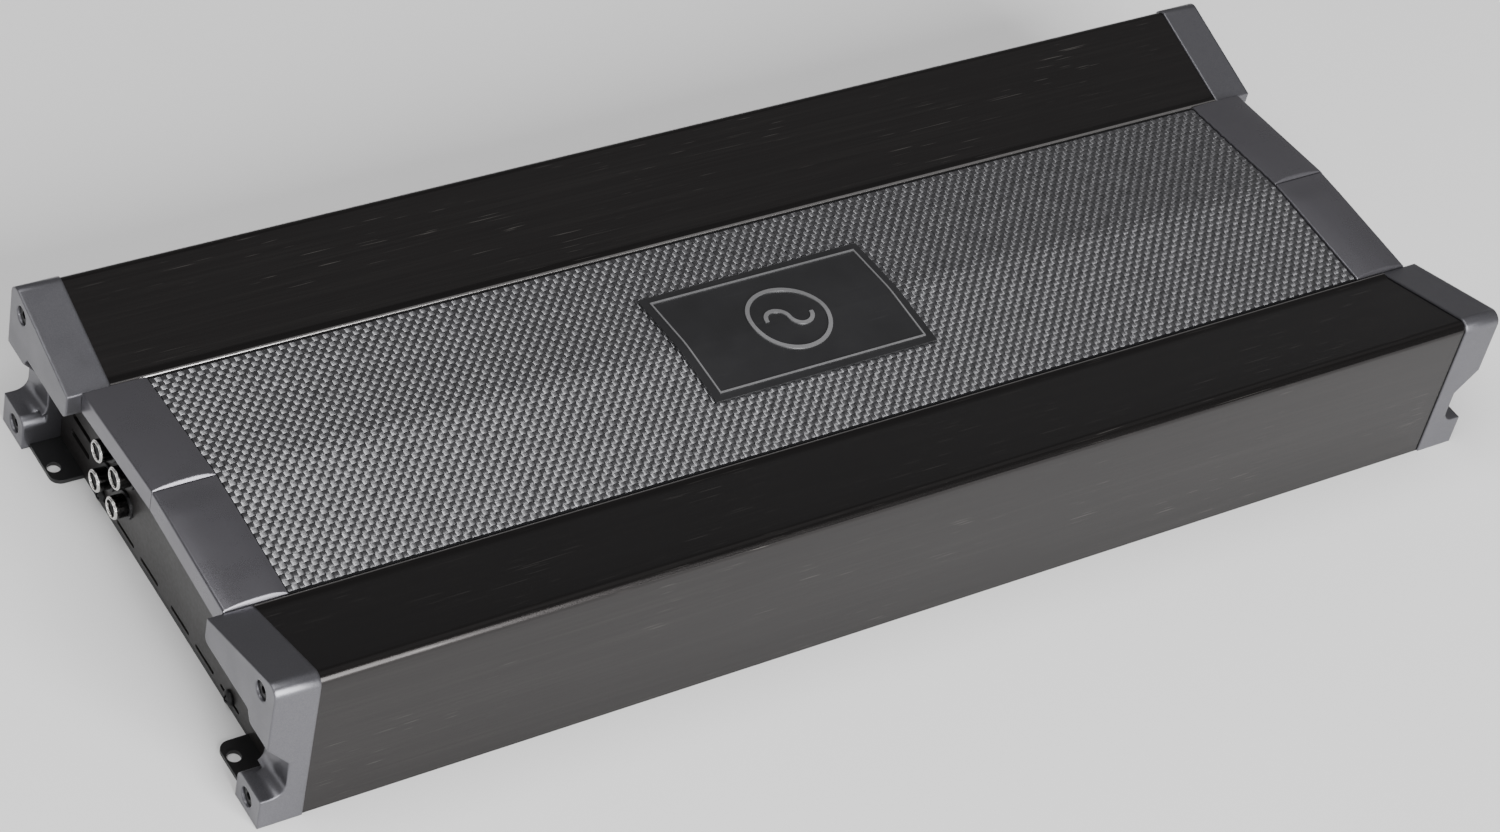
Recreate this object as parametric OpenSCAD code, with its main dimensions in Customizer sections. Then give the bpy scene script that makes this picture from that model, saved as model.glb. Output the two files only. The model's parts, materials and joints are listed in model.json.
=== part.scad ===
// Car audio power amplifier: two extruded side rails joined by a finned centre
// heatsink, die-cast corner caps, a sheet-steel base with mounting ears, a woven
// inlay with end trims, and the electronics, sockets and terminals inside.
// X runs along the length, Y across the width, Z up. The origin is at the centre
// of the underside. Connector names that end in _left are at the signal end (-X).

/* [Case] */
// Overall length, over the corner caps
amp_l = 508; // [460:1:560]
// Overall width, over the corner caps
amp_w = 202; // [196:1:210]
// Overall height
amp_h = 64.5; // [62:0.5:68]
// Slope of the rail tops towards the middle, in degrees
rail_slope = 16.6; // [14:0.2:18]
// Width of one rail, from the case's side to its inner edge
rail_w = 46.8; // [46:0.2:48]
// Radius of the rails' outer top edge
edge_r = 4; // [3:0.5:5]
// How far the corner caps stand proud of the rails
cap_proud = 0.6; // [0.4:0.1:0.8]
// Length of one corner cap along X
cap_len = 16.1; // [15:0.1:17]
// Thickness of the steel base
base_t = 1.6; // [1.4:0.1:2]
// Slope of the centre section on each side of its ridge, in degrees
gable = 3.8; // [3:0.1:5]

/* [Mounting ears] */
// Distance of the ear holes from the case's ends
ear_hole_in = 6; // [5.5:0.1:6.5]
// Distance of the ear holes from the centre plane
ear_hole_y = 71.5; // [70:0.5:73]
// Diameter of the ear holes
ear_hole_d = 5; // [4.5:0.1:5.5]

/* [Sockets and controls] */
// Distance between neighbouring signal sockets
rca_pitch = 14; // [13:0.5:16]
// Outer diameter of a signal socket's metal shell
rca_d = 8.3; // [8:0.1:8.6]
// Distance between neighbouring rotary controls
control_pitch = 15; // [12:1:16]
// Diameter of a rotary control's shaft
control_d = 6; // [5:0.5:6.5]

/* [Terminals] */
// Bore of the battery and ground terminals
power_bore_d = 10.5; // [9:0.5:11]
// Bore of the loudspeaker terminals
speaker_bore_d = 6; // [5:0.5:7]
// Bore of the remote turn-on terminal
remote_bore_d = 3.6; // [3:0.2:4]

/* [Hidden] */
$fn = 48;
gap = 0.1;

// Rail and cap section, with u measured inwards from the case's side
// The rounded edge stands this far past its two flats, so that they cross it cleanly
edge_lap = 0.02;
arc_u = edge_r;
arc_z = amp_h - edge_r;
apex_z = arc_z + edge_r * tan(rail_slope) + edge_r / cos(rail_slope);
function top_z(u, drop = 0) = apex_z - u * tan(rail_slope) - drop / cos(rail_slope);
rail_len = amp_l - 2 * cap_len;
rail_wall = 2.4;
rail_top = 2.6;
web_u = [38.5, 42];
flange_t = 2.4;
screw_u = 8.9;
cap_screw_z = [6.2, 56.6];
boss_r = 3.6;
fin_t = 1.6;

// Corner cap
band_z = 42;
column_u = 16;
foot_h = 12.8;
notch_z = 37.5;
notch_x = 8.6;

// Centre section
half_gap = amp_w / 2 - rail_w;
inlay_t = 2;
inlay_edge_z = 51.8;
inlay_end_x = 225;
ridge_flat = 2;
trim_gap = 0.12;
bridge_edge_z = inlay_edge_z - inlay_t;
panel_x = amp_l / 2 - 14.4;
panel_t = 1.6;
trim_x = [amp_l / 2 - 28.8, amp_l / 2 - 5.5];
trim_rise = 1;
trim_wall = 8.3;
badge = [94, 56, 1.3];

// Electronics
board_z = 9.6;
board_t = 1.6;
board_top = board_z + board_t;
board_w = 116;
board_x = [-237, 217];
post_x = [-190, 0, 190];
post_y = 48;
signal_z = 30.2;
signal_t = 1.4;
rca_y = [32.6, 32.6 + rca_pitch];
rca_z = [17, 17 + rca_pitch];
rca_proud = 6;
rca_flange = 0.9;
rca_neck_d = rca_d - 0.8;
rca_insert_d = 6.4;
control_z = 36;
control_y = [for (i = [0:3]) 16 - i * control_pitch];
switch_y = [-41.5, -53];
winding_x = [-96, -32, 96];
capacitor_x = [-176, -156, -136, 32, 52, 72];
transistor_x = [for (i = [-5:4]) i * 34 + 17];
clamp_x = [for (i = [-2:2]) i * 68];
clamp_z = 24;
web_face = amp_w / 2 - web_u[1];

// Terminals: [y, bore diameter, clamp screw diameter, top of its block]
lug_z = 15.5;
lug_x = [222, 247];
lug_screw_x = 241;
block_z = 7;
power_top = 31.5;
speaker_top = 26.5;
battery = [-37, power_bore_d, 6, power_top];
ground = [-13, power_bore_d, 6, power_top];
remote = [-25, remote_bore_d, 2.5, power_top];
speaker_plus = [27, speaker_bore_d, 4, speaker_top];
speaker_minus = [39, speaker_bore_d, 4, speaker_top];
power_span = [-45.5, -4.5];
speaker_span = [20.5, 45.5];
base_screw_x = [for (i = [-2:2]) i * 100];
base_screw_y = amp_w / 2 - 35;
panel_screw_y = [-50.5, 50.5];
panel_screw_z = 5;
socket_y = [-1, 13];
lamp_y = [49, 56];

// ---------------------------------------------------------------- helpers

// Children drawn with u inwards from the front side, mirrored for the rear
module at_side(rear) mirror([0, rear ? 1 : 0, 0]) translate([0, -amp_w / 2, 0]) children();

// Children drawn with x inwards from the left end, mirrored for the right
module at_end(right) mirror([right ? 1 : 0, 0, 0]) translate([-amp_l / 2, 0, 0]) children();

// Extrudes a (y, z) outline along X
module along_x(length) rotate([90, 0, 90]) linear_extrude(length) children();

// Extrudes an (x, z) outline along Y
module along_y(length) rotate([90, 0, 0]) translate([0, 0, -length]) linear_extrude(length) children();

// Extrudes one closed (y, z) polygon along X
module prism(length, points) along_x(length) polygon(points);

module rod_x(d, length) rotate([0, 90, 0]) cylinder(d = d, h = length);

module box(low, high) translate(low) cube(high - low);

// Height of the centre section above its edges at a distance y from the ridge
function gable_z(y, edge_z) = edge_z + (half_gap - max(abs(y), ridge_flat)) * tan(gable);

// Outline of a plate that follows the centre section's gable
function gable_plate(half_w, low_z, high_z) =
    let (ys = [-half_w, -ridge_flat, ridge_flat, half_w])
    concat([for (y = ys) [y, gable_z(y, high_z)]], [for (i = [3:-1:0]) [ys[i], gable_z(ys[i], low_z)]]);

// ---------------------------------------------------------------- rails and caps

// Solid under the sloping top: off is its inset from the cap's outline
module top_solid(length, off, low_z, inner_u) {
    r = edge_r - off;
    tangent = [arc_u + r * sin(rail_slope), arc_z + r * cos(rail_slope)];
    translate([0, arc_u, arc_z]) rod_x(2 * (r + edge_lap), length);
    prism(length, [[off, low_z], [off, arc_z], [arc_u, arc_z], tangent,
                   [inner_u, top_z(inner_u, off)], [inner_u, low_z]]);
}

module rail(rear) at_side(rear) translate([-rail_len / 2, 0, 0]) difference() {
    under = cap_proud + rail_top;
    inner_u = rail_w - gap;
    wall_u = cap_proud + rail_wall;
    lip_u = web_u[0] + 1;
    floor_z = base_t + gap;
    union() {
        difference() {
            top_solid(rail_len, cap_proud, 0, web_u[1]);
            translate([-1, 0, 0]) {
                prism(rail_len + 2, [[wall_u, floor_z + flange_t], [wall_u, top_z(wall_u, under) - 4],
                                     [wall_u + 3, top_z(wall_u + 3, under)],
                                     [web_u[0], top_z(web_u[0], under)], [web_u[0], floor_z + flange_t]]);
                box([0, 14, base_t], [rail_len + 2, 32, 8]);
                box([0, wall_u, -1], [rail_len + 2, web_u[1] + 1, floor_z]);
            }
        }
        prism(rail_len, [[lip_u, top_z(lip_u, cap_proud)], [inner_u, top_z(inner_u, cap_proud)],
                         [inner_u, top_z(inner_u, under)], [lip_u, top_z(lip_u, under)]]);
        for (z = cap_screw_z) translate([0, screw_u, z]) rod_x(2 * boss_r, rail_len);
        for (u = [15:5:35]) prism(rail_len, [[u, 34], [u + fin_t, 34],
                                             [u + fin_t, top_z(u + fin_t, under) + 0.5],
                                             [u, top_z(u, under) + 0.5]]);
    }
    for (z = cap_screw_z) translate([-1, screw_u, z]) rod_x(3.4, rail_len + 2);
    translate([rail_len / 2, 0, 0]) {
        for (x = base_screw_x) translate([x, 35, base_t]) cylinder(d = 3.1, h = flange_t + 1);
        for (x = clamp_x) translate([x, web_u[1] + 1, clamp_z]) rotate([90, 0, 0]) cylinder(d = 3, h = 6);
    }
}

module rail_front() color("#1d1b1c") rail(false);
module rail_rear() color("#1d1b1c") rail(true);

// Square-sided strip along X that rounds off the corner of (u, z) to radius r
module corner_cutter(length, r, u, z) translate([-1, u, z]) difference() {
    translate([0, 0, -0.5]) cube([length + 2, r + 0.5, r + 0.5]);
    translate([-1, 0, r]) rod_x(2 * r, length + 4);
}

module cap_solid() difference() {
    union() {
        top_solid(cap_len, 0, 0, column_u);
        top_solid(cap_len, 0, band_z, rail_w);
    }
    corner_cutter(cap_len, 2.5, rail_w - 2.5, band_z);
    for (z = cap_screw_z) translate([-1, screw_u, z]) rod_x(4.2, cap_len + 2);
}

// Hollow at the foot of the cap that gives a screwdriver room over the ear
module cap_notch() {
    r = 5;
    sweep_u = 12.4;
    sweep = [for (i = [0:6]) [sweep_u + i * 0.6, notch_z + (band_z - notch_z) * (1 - cos(i * 30)) / 2]];
    difference() {
        translate([0, -1, 0]) along_y(column_u + 2)
            polygon([[-1, notch_z + 1], [0, notch_z], [notch_x, 28], [notch_x, foot_h], [-1, foot_h]]);
        translate([notch_x - r, -2, foot_h - 1]) difference() {
            cube([r + 1, column_u + 4, r + 1]);
            translate([0, -1, r + 1]) rotate([-90, 0, 0]) cylinder(r = r, h = column_u + 6);
        }
    }
    translate([-1, 0, 0]) prism(notch_x + 1, concat([[sweep_u, foot_h + 6]], sweep,
                                                    [[column_u + 1, band_z], [column_u + 1, foot_h + 6]]));
    translate([-1, column_u - 3.5, foot_h - 3.5]) difference() {
        cube([notch_x + 1, 4.5, 4.5]);
        translate([-1, 0, 0]) rod_x(7, notch_x + 4);
    }
}

module cap(right, rear) at_side(rear) at_end(right) difference() {
    cap_solid();
    cap_notch();
    for (z = cap_screw_z) translate([-1, screw_u, z]) rod_x(7.2, 6.05);
    translate([4, 0, 0]) prism(cap_len, [[19, band_z + 2.5], [44, band_z + 2.5], [44, top_z(44, 3)],
                                         [19, top_z(19, 3)]]);
    translate([notch_x + 2.6, 0, 0]) prism(cap_len, [[3, foot_h + 1.2], [13, foot_h + 1.2],
                                                     [13, band_z + 4], [3, band_z + 4]]);
}

module cap_front_left() color("#6e6d74") cap(false, false);
module cap_front_right() color("#6e6d74") cap(true, false);
module cap_rear_left() color("#6e6d74") cap(false, true);
module cap_rear_right() color("#6e6d74") cap(true, true);

module cap_screws() color("#2b2b2d")
    for (right = [false, true], rear = [false, true], z = cap_screw_z)
        at_side(rear) at_end(right) translate([0.9, screw_u, z]) difference() {
            union() {
                rod_x(6.6, 4.1);
                translate([4, 0, 0]) rod_x(3.3, 22);
            }
            translate([-1, 0, 0]) rotate([0, 90, 0]) cylinder(d = 3, h = 2.6, $fn = 6);
        }

// ---------------------------------------------------------------- base

module base_plate() color("#151516") difference() {
    union() {
        inner_l = rail_len / 2 - gap;
        box([-inner_l, -amp_w / 2 + 3.2, 0], [inner_l, amp_w / 2 - 3.2, base_t]);
        box([-panel_x, -amp_w / 2 + column_u + gap, 0], [panel_x, amp_w / 2 - column_u - gap, base_t]);
        for (right = [false, true], rear = [false, true]) at_side(rear) at_end(right) ear();
        for (sx = [-1, 1], y = panel_screw_y)
            translate([sx * (panel_x - panel_t - gap - 0.8), y, 4.5]) cube([1.6, 8, 9], center = true);
    }
    for (sx = [-1, 1], y = panel_screw_y)
        translate([sx * (panel_x - panel_t) - 5, y, panel_screw_z]) rod_x(3.1, 10);
    for (sx = [-1, 1], sy = [-1, 1])
        translate([sx * (amp_l / 2 - ear_hole_in), sy * ear_hole_y, -1]) cylinder(d = ear_hole_d, h = 4);
    for (x = base_screw_x, sy = [-1, 1]) translate([x, sy * base_screw_y, 0]) {
        translate([0, 0, -1]) cylinder(d = 3.6, h = 4);
        translate([0, 0, -0.01]) cylinder(d1 = 6.2, d2 = 3.6, h = 1.3);
    }
}

module ear() {
    ear_x = 2.9;
    r = 4;
    low_u = column_u + gap;
    outer_u = column_u + 20.6;
    box([ear_x, low_u, 0], [18, outer_u - r, base_t]);
    box([ear_x + r, low_u, 0], [18, outer_u, base_t]);
    translate([ear_x + r, outer_u - r, 0]) cylinder(r = r, h = base_t);
}

module base_screws() color("#2b2b2d")
    for (x = base_screw_x, sy = [-1, 1]) translate([x, sy * base_screw_y, 0]) difference() {
        union() {
            cylinder(d1 = 6, d2 = 3.4, h = 1.3);
            cylinder(d = 3, h = base_t + gap + flange_t + 1.2);
        }
        translate([0, 0, -0.01]) cylinder(d = 2.2, h = 0.9, $fn = 6);
    }

module insulating_sheet() color("#c9b458")
    box([-200, -50, base_t + gap], [200, 50, base_t + gap + 0.4]);

// ---------------------------------------------------------------- centre section

module bridge_heatsink() color("#3a3a3c") translate([-rail_len / 2, 0, 0]) union() {
    shelf_y = amp_w / 2 - web_u[1] - gap;
    under_z = bridge_edge_z - 4;
    prism(rail_len, gable_plate(half_gap - 0.3, under_z, bridge_edge_z - gap));
    for (s = [-1, 1]) prism(rail_len, [[s * (half_gap - 4), under_z], [s * shelf_y, under_z],
                                       [s * shelf_y, under_z + 1.8], [s * (half_gap - 4), under_z + 1.8]]);
    for (y = [-48:8:48]) box([0, y - fin_t / 2, 41.4], [rail_len, y + fin_t / 2, gable_z(y, under_z) + 1]);
}

module woven_inlay() color("#7d7d80") translate([-inlay_end_x, 0, 0])
    prism(2 * inlay_end_x, gable_plate(half_gap - 0.3, inlay_edge_z - inlay_t, inlay_edge_z));

// A layer of the badge over the inlay, from low to high above it, cut to the children's outline
module badge_layer(low, high) intersection() {
    translate([-badge[0] / 2, 0, 0])
        prism(badge[0], gable_plate(badge[1] / 2, inlay_edge_z + low, inlay_edge_z + high));
    children();
}

module badge_blank(inset) translate([0, 0, inlay_edge_z / 2])
    cube([badge[0] - 2 * inset, badge[1] - 2 * inset, 2 * inlay_edge_z], center = true);

module badge_plate() color("#17171a") badge_layer(0.02, badge[2]) badge_blank(0);

// Upright tube with its mid-line at radius r
module hoop(r, line) difference() {
    cylinder(r = r + line / 2, h = 2 * inlay_edge_z);
    translate([0, 0, -1]) cylinder(r = r - line / 2, h = 2 * inlay_edge_z + 2);
}

// Thin border line and a plain ring crossed by one wave, raised on the badge
module badge_emblem() color("#c4c4c8") badge_layer(badge[2] + 0.01, badge[2] + 0.4) {
    line = 1.6;
    wave_r = 4.6;
    difference() {
        badge_blank(3.2);
        badge_blank(3.8);
    }
    hoop(15.2, line);
    for (s = [-1, 1]) translate([s * wave_r, 0, 0]) difference() {
        hoop(wave_r, line);
        translate([-8, s > 0 ? 0 : -8, -1]) cube([16, 8, 2 * amp_h]);
    }
}

// End trim: a crowned plate with a deep outer lip, laid on one slope of the gable
module trim(right, rear) mirror([right ? 0 : 1, 0, 0]) mirror([0, rear ? 0 : 1, 0]) {
    crown_r = 160;
    crown = 0.4;
    plate = 2.9;
    lip = 1.8;
    r = 1.3;
    far_y = half_gap - 0.25;
    width = trim_x[1] - trim_x[0];
    length = (far_y - trim_gap) / cos(gable);
    intersection() {
        box([trim_x[0] - 1, trim_gap, band_z - 10], [trim_x[1] + 1, far_y, amp_h]);
        translate([trim_x[0], trim_gap, inlay_edge_z + trim_rise + far_y * tan(gable)]) rotate([-gable, 0, 0])
            intersection() {
                along_y(length + 1) difference() {
                    intersection() {
                        translate([0, -trim_wall]) square([width, trim_wall + 2]);
                        translate([width / 2, crown - crown_r]) circle(crown_r, $fn = 200);
                    }
                    translate([-1, -trim_wall - 1]) square([width + 1 - lip, trim_wall + 1 - plate]);
                }
                translate([-1, 0, 0]) union() {
                    box([0, -1, -trim_wall - 1], [width + 2, length + 2, crown - r]);
                    box([0, r, -r], [width + 2, length - r, crown]);
                    for (y = [r, length - r]) translate([0, y, crown - r]) rod_x(2 * r, width + 2);
                }
            }
    }
}

module trim_left_front() color("#55545b") trim(false, false);
module trim_left_rear() color("#55545b") trim(false, true);
module trim_right_front() color("#55545b") trim(true, false);
module trim_right_rear() color("#55545b") trim(true, true);

// ---------------------------------------------------------------- end panels

module slot_x(y, z, length, height) translate([-1, y, z]) along_x(panel_t + 2) {
    square([length - height, height], center = true);
    for (s = [-1, 1]) translate([s * (length - height) / 2, 0]) circle(height / 2, $fn = 24);
}

// Panel blank with its vents, drawn with x outwards from the inner face
module panel_blank() {
    half_w = amp_w / 2 - column_u - gap;
    difference() {
        union() {
            box([0, -half_w, base_t + gap], [panel_t, half_w, band_z - gap]);
            prism(panel_t, gable_plate(half_gap - 0.4, band_z - 8, bridge_edge_z - 0.4));
        }
        for (s = [-1, 1]) {
            for (y = [12.1, 31.2, 50.3]) slot_x(s * y, 3.9, 14, 1.5);
            for (i = [0:2]) slot_x(s * 69.5, 11.7 + 7.9 * i, 15, 2.4);
        }
        for (y = panel_screw_y) translate([-1, y, panel_screw_z]) rod_x(3.3, panel_t + 2);
    }
}

module end_panel_left() color("#33302e") mirror([1, 0, 0]) translate([panel_x - panel_t, 0, 0]) difference() {
    panel_blank();
    for (y = rca_y, z = rca_z) translate([-1, y, z]) rod_x(10.8, panel_t + 2);
    for (y = control_y) translate([-1, y, control_z]) rod_x(control_d + 1, panel_t + 2);
    for (y = switch_y) box([-1, y - 3.4, control_z - 1.6], [3, y + 3.4, control_z + 1.6]);
}

module end_panel_right() color("#33302e") translate([panel_x - panel_t, 0, 0]) difference() {
    panel_blank();
    box([-1, power_span[0] - gap, block_z - gap], [3, power_span[1] + gap, power_top + gap]);
    box([-1, speaker_span[0] - gap, block_z - gap], [3, speaker_span[1] + gap, speaker_top + gap]);
    box([-1, socket_y[0] - gap, board_top - gap], [3, socket_y[1] + gap, board_top + 13 + gap]);
    for (y = lamp_y) translate([-1, y, control_z]) rod_x(3.2, panel_t + 2);
}

module panel_screws() color("#2b2b2d") for (right = [false, true], y = panel_screw_y)
    mirror([right ? 0 : 1, 0, 0]) translate([panel_x, y, panel_screw_z]) rotate([0, 90, 0]) difference() {
        union() {
            intersection() {
                cylinder(d = 5.8, h = 2.2);
                translate([0, 0, -1.6]) sphere(3.8);
            }
            translate([0, 0, -8]) cylinder(d = 3, h = 8.5);
        }
        for (a = [0, 90]) rotate([0, 0, a]) translate([-1.6, -0.35, 1]) cube([3.2, 0.7, 3]);
    }

// ---------------------------------------------------------------- boards and parts

module main_board() color("#1d4a33") difference() {
    box([board_x[0], -board_w / 2, board_z], [board_x[1], board_w / 2, board_top]);
    for (x = post_x, s = [-1, 1]) translate([x, s * post_y, board_z - 1]) cylinder(d = 3.4, h = 4);
}

module board_standoffs() color("#c9a95a") {
    low_z = base_t + gap + 0.5;
    for (x = post_x, s = [-1, 1]) translate([x, s * post_y, low_z]) difference() {
        cylinder(d = 6.4, h = board_z - low_z, $fn = 6);
        translate([0, 0, 1.5]) cylinder(d = 3, h = 10);
    }
}

// Slotted pan-head screw, its head above the children's origin and its shank below
module inner_screw(shank) difference() {
    union() {
        cylinder(d = 5.4, h = 1.8);
        translate([0, 0, -shank]) cylinder(d = 2.9, h = shank + 0.1);
    }
    translate([-1.6, -0.3, 1]) cube([3.2, 0.6, 2]);
}

module inner_screws() color("#b9bbbe") {
    for (x = post_x, s = [-1, 1]) translate([x, s * post_y, board_top]) inner_screw(6);
    for (x = clamp_x, s = [-1, 1]) mirror([0, s > 0 ? 0 : 1, 0])
        translate([x, web_face - 6.6, clamp_z]) rotate([90, 0, 0]) inner_screw(9.6);
}

module filter_capacitors() color("#22304a") for (x = capacitor_x, y = [-26, 26])
    translate([x, y, board_top]) difference() {
        union() {
            cylinder(d = 18, h = 27);
            translate([0, 0, 1.2]) cylinder(d = 18.6, h = 25);
        }
        for (a = [0, 60, 120]) rotate([0, 0, a]) translate([-6, -0.3, 26.6]) cube([12, 0.6, 1]);
    }

module ring(outer_d, inner_d, h) rotate_extrude() translate([inner_d / 2, 0])
    square([(outer_d - inner_d) / 2, h]);

module transformer_cores() color("#4a4a4c") for (x = winding_x) translate([x, 0, board_top + 2.4])
    ring(36, 22, 16);

module transformer_windings() color("#b8622a") for (x = winding_x) translate([x, 0, board_top + 0.4])
    for (i = [0:17]) rotate([0, 0, i * 20]) translate([14.5, 0, 10]) difference() {
        translate([-5.1, -1, -10]) cube([10.2, 2, 20]);
        translate([-3.6, -2, -8.1]) cube([7.2, 4, 16.2]);
    }

module output_choke_core() color("#3d5a3f") translate([155, 0, board_top + 2.4]) ring(46, 26, 18);

module output_choke_winding() color("#b8622a") translate([155, 0, board_top + 0.2])
    for (i = [0:17]) rotate([0, 0, i * 20]) translate([18, 0, 11.2]) difference() {
        translate([-7.2, -1.2, -11.2]) cube([14.4, 2.4, 22.4]);
        translate([-5.1, -2, -9.1]) cube([10.2, 4, 18.2]);
    }

module transistors() color("#222224") for (x = transistor_x, s = [-1, 1])
    mirror([0, s < 0 ? 1 : 0, 0]) translate([x, web_face - 0.5, 0]) {
        box([-5, -4.4, 16], [5, 0, 31]);
        for (i = [-1:1]) box([i * 2.5 - 0.4, -2.6, board_top], [i * 2.5 + 0.4, -1.9, 16]);
    }

// Strip along each rail's web, from near to far off the web, with the clamp screws' holes
module web_strip(half_l, near, far, low_z, high_z) for (s = [-1, 1]) mirror([0, s < 0 ? 1 : 0, 0])
    difference() {
        box([-half_l, web_face - far, low_z], [half_l, web_face - near, high_z]);
        for (x = clamp_x) translate([x, web_face + 1, clamp_z]) rotate([90, 0, 0]) cylinder(d = 3.2, h = 20);
    }

module thermal_pads() color("#8e9aa6") web_strip(170, 0.05, 0.5, 15, 32);

module transistor_clamps() color("#9a9ca0") web_strip(168, 4.95, 6.6, 20, 28);

module signal_board() color("#1d4a33")
    box([-panel_x + 4, -58.5, signal_z], [-200, 24, signal_z + signal_t]);

module board_header() color("#1a1a1c") {
    box([-205, -20, board_top], [-202, 20, board_top + 8]);
    for (i = [0:9]) box([-203.8, -18.4 + i * 4, board_top + 8], [-203.2, -17.6 + i * 4, signal_z]);
}

// ---------------------------------------------------------------- signal end

module rca_housings() color("#121214") for (y = rca_y) mirror([1, 0, 0]) difference() {
    union() {
        box([panel_x - 16, y - 6.5, board_top], [panel_x - panel_t - gap, y + 6.5, rca_z[1] + 7]);
        for (z = rca_z) translate([panel_x - 4, y, z]) rod_x(10.4, 4 + rca_flange);
    }
    for (z = rca_z) translate([panel_x - 12, y, z]) rod_x(rca_neck_d + 0.04, 14);
}

module rca_shells() color("#cfd1d4") for (y = rca_y, z = rca_z) mirror([1, 0, 0])
    translate([panel_x, y, z]) difference() {
        union() {
            translate([-12, 0, 0]) rod_x(rca_neck_d, 12 + rca_proud);
            translate([rca_flange, 0, 0]) rod_x(rca_d, rca_proud - rca_flange - 0.4);
        }
        translate([-13, 0, 0]) rod_x(rca_insert_d + 0.02, 20);
    }

module rca_inserts() color("#1c1c1e") for (y = rca_y, z = rca_z) mirror([1, 0, 0])
    translate([panel_x - 12, y, z]) difference() {
        rod_x(rca_insert_d, 12 + rca_proud - 1.2);
        translate([2, 0, 0]) rod_x(3.3, 20);
    }

module control_bodies() color("#2f4f7d") for (y = control_y) mirror([1, 0, 0]) difference() {
    box([panel_x - 13, y - 5, signal_z + signal_t], [panel_x - panel_t - 0.3, y + 5, control_z + 5]);
    translate([panel_x - 11, y, control_z]) rod_x(control_d + 0.1, 14);
}

// Rotor of one control: a screwdriver slot in its end and a pointer notch
module control_rotor(index) mirror([1, 0, 0]) translate([panel_x - 10.9, control_y[index], control_z])
    difference() {
        rod_x(control_d, 11.9);
        translate([10.7, -control_d, -0.5]) cube([2, 2 * control_d, 1]);
        translate([10.7, -0.4, 0]) cube([2, 0.8, control_d]);
    }

module level_control() color("#e8e6df") control_rotor(0);
module low_pass_control() color("#e8e6df") control_rotor(1);
module subsonic_control() color("#e8e6df") control_rotor(2);
module bass_control() color("#e8e6df") control_rotor(3);

module switch_bodies() color("#8c8e92") for (y = switch_y) mirror([1, 0, 0]) difference() {
    box([panel_x - 9, y - 5, signal_z + signal_t], [panel_x - panel_t - 0.3, y + 5, control_z + 3.6]);
    box([panel_x - 7.2, y - 3.2, control_z - 1.3], [panel_x, y + 3.2, control_z + 1.3]);
}

// Slide switch lever at one end of its slot, with three grip grooves
module switch_lever(y) mirror([1, 0, 0]) difference() {
    union() {
        box([panel_x - 6.9, y - 2.9, control_z - 1], [panel_x - 4, y + 0.9, control_z + 1]);
        box([panel_x - 4.1, y - 2.6, control_z - 0.9], [panel_x + 1.2, y + 0.6, control_z + 0.9]);
    }
    for (i = [0:2])
        box([panel_x + 0.8, y - 2 + i * 0.8, control_z - 1], [panel_x + 2, y - 1.6 + i * 0.8, control_z + 1]);
}

module phase_switch() color("#d8d6d0") switch_lever(switch_y[0]);
module mode_switch() color("#d8d6d0") switch_lever(switch_y[1]);

// ---------------------------------------------------------------- power end

module remote_level_socket() color("#1a1a1c") difference() {
    y = (socket_y[0] + socket_y[1]) / 2;
    box([panel_x - 14, socket_y[0], board_top], [panel_x + 0.8, socket_y[1], board_top + 13]);
    box([panel_x - 12, y - 5, board_top + 2.6], [panel_x + 2, y + 5, board_top + 9.4]);
    box([panel_x - 12, y - 2, board_top + 9.3], [panel_x + 2, y + 2, board_top + 11.4]);
}

module status_lamps() for (i = [0, 1]) color(["#2c6bd6", "#c8332b"][i])
    translate([panel_x - 5, lamp_y[i], control_z]) {
        translate([-1, 0, 0]) rod_x(3.8, 1.2);
        rod_x(3, 5.6);
        translate([5.6, 0, 0]) sphere(1.5);
    }

function lug_wall(terminal) = terminal[1] / 2 + 1.6;

// Solid of one lug with its board tail, grown by room on each side
module lug_blank(terminal, room) {
    wall = lug_wall(terminal) + room;
    box([lug_x[0] - room, terminal[0] - wall, lug_z - terminal[1] / 2 - 1.6 - room],
        [lug_x[1] + room, terminal[0] + wall, terminal[3] - 3 + room]);
    box([lug_x[0] - 14, terminal[0] - 2.5 - room, board_top - room],
        [lug_x[0] + 1, terminal[0] + 2.5 + room, board_top + 2 + room]);
}

// Metal lug of one terminal: a cable bore along X and a threaded hole from above
module lug(terminal) difference() {
    lug_blank(terminal, 0);
    translate([lug_x[0] + 5, terminal[0], lug_z]) rod_x(terminal[1], 30);
    translate([lug_screw_x, terminal[0], lug_z]) cylinder(d = terminal[2] + 0.1, h = 20);
}

// Moulded block with a pocket, a cable hole and a screw hole for each terminal
module terminal_block(span, terminals) difference() {
    box([lug_x[0] - 3, span[0], block_z], [lug_x[1] + 2.5, span[1], terminals[0][3]]);
    for (terminal = terminals) {
        lug_blank(terminal, gap);
        translate([lug_x[1] - 1, terminal[0], lug_z]) rod_x(terminal[1] + 0.4, 20);
        translate([lug_screw_x, terminal[0], lug_z]) cylinder(d = terminal[2] + 0.8, h = 20);
    }
}

module power_block() color("#141416") terminal_block(power_span, [battery, ground, remote]);
module speaker_block() color("#141416") terminal_block(speaker_span, [speaker_plus, speaker_minus]);

module power_lugs() color("#c9a24a") {
    lug(battery);
    lug(ground);
    lug(remote);
}

module speaker_lugs() color("#c9a24a") {
    lug(speaker_plus);
    lug(speaker_minus);
}

// Swivelling pressure pad at the tip of a clamp screw, resting above the bore
module clamp_pad(terminal) translate([lug_screw_x, terminal[0], lug_z + terminal[1] / 2 + 0.2])
    cylinder(d = terminal[2] - 0.2, h = 1.2);

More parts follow.
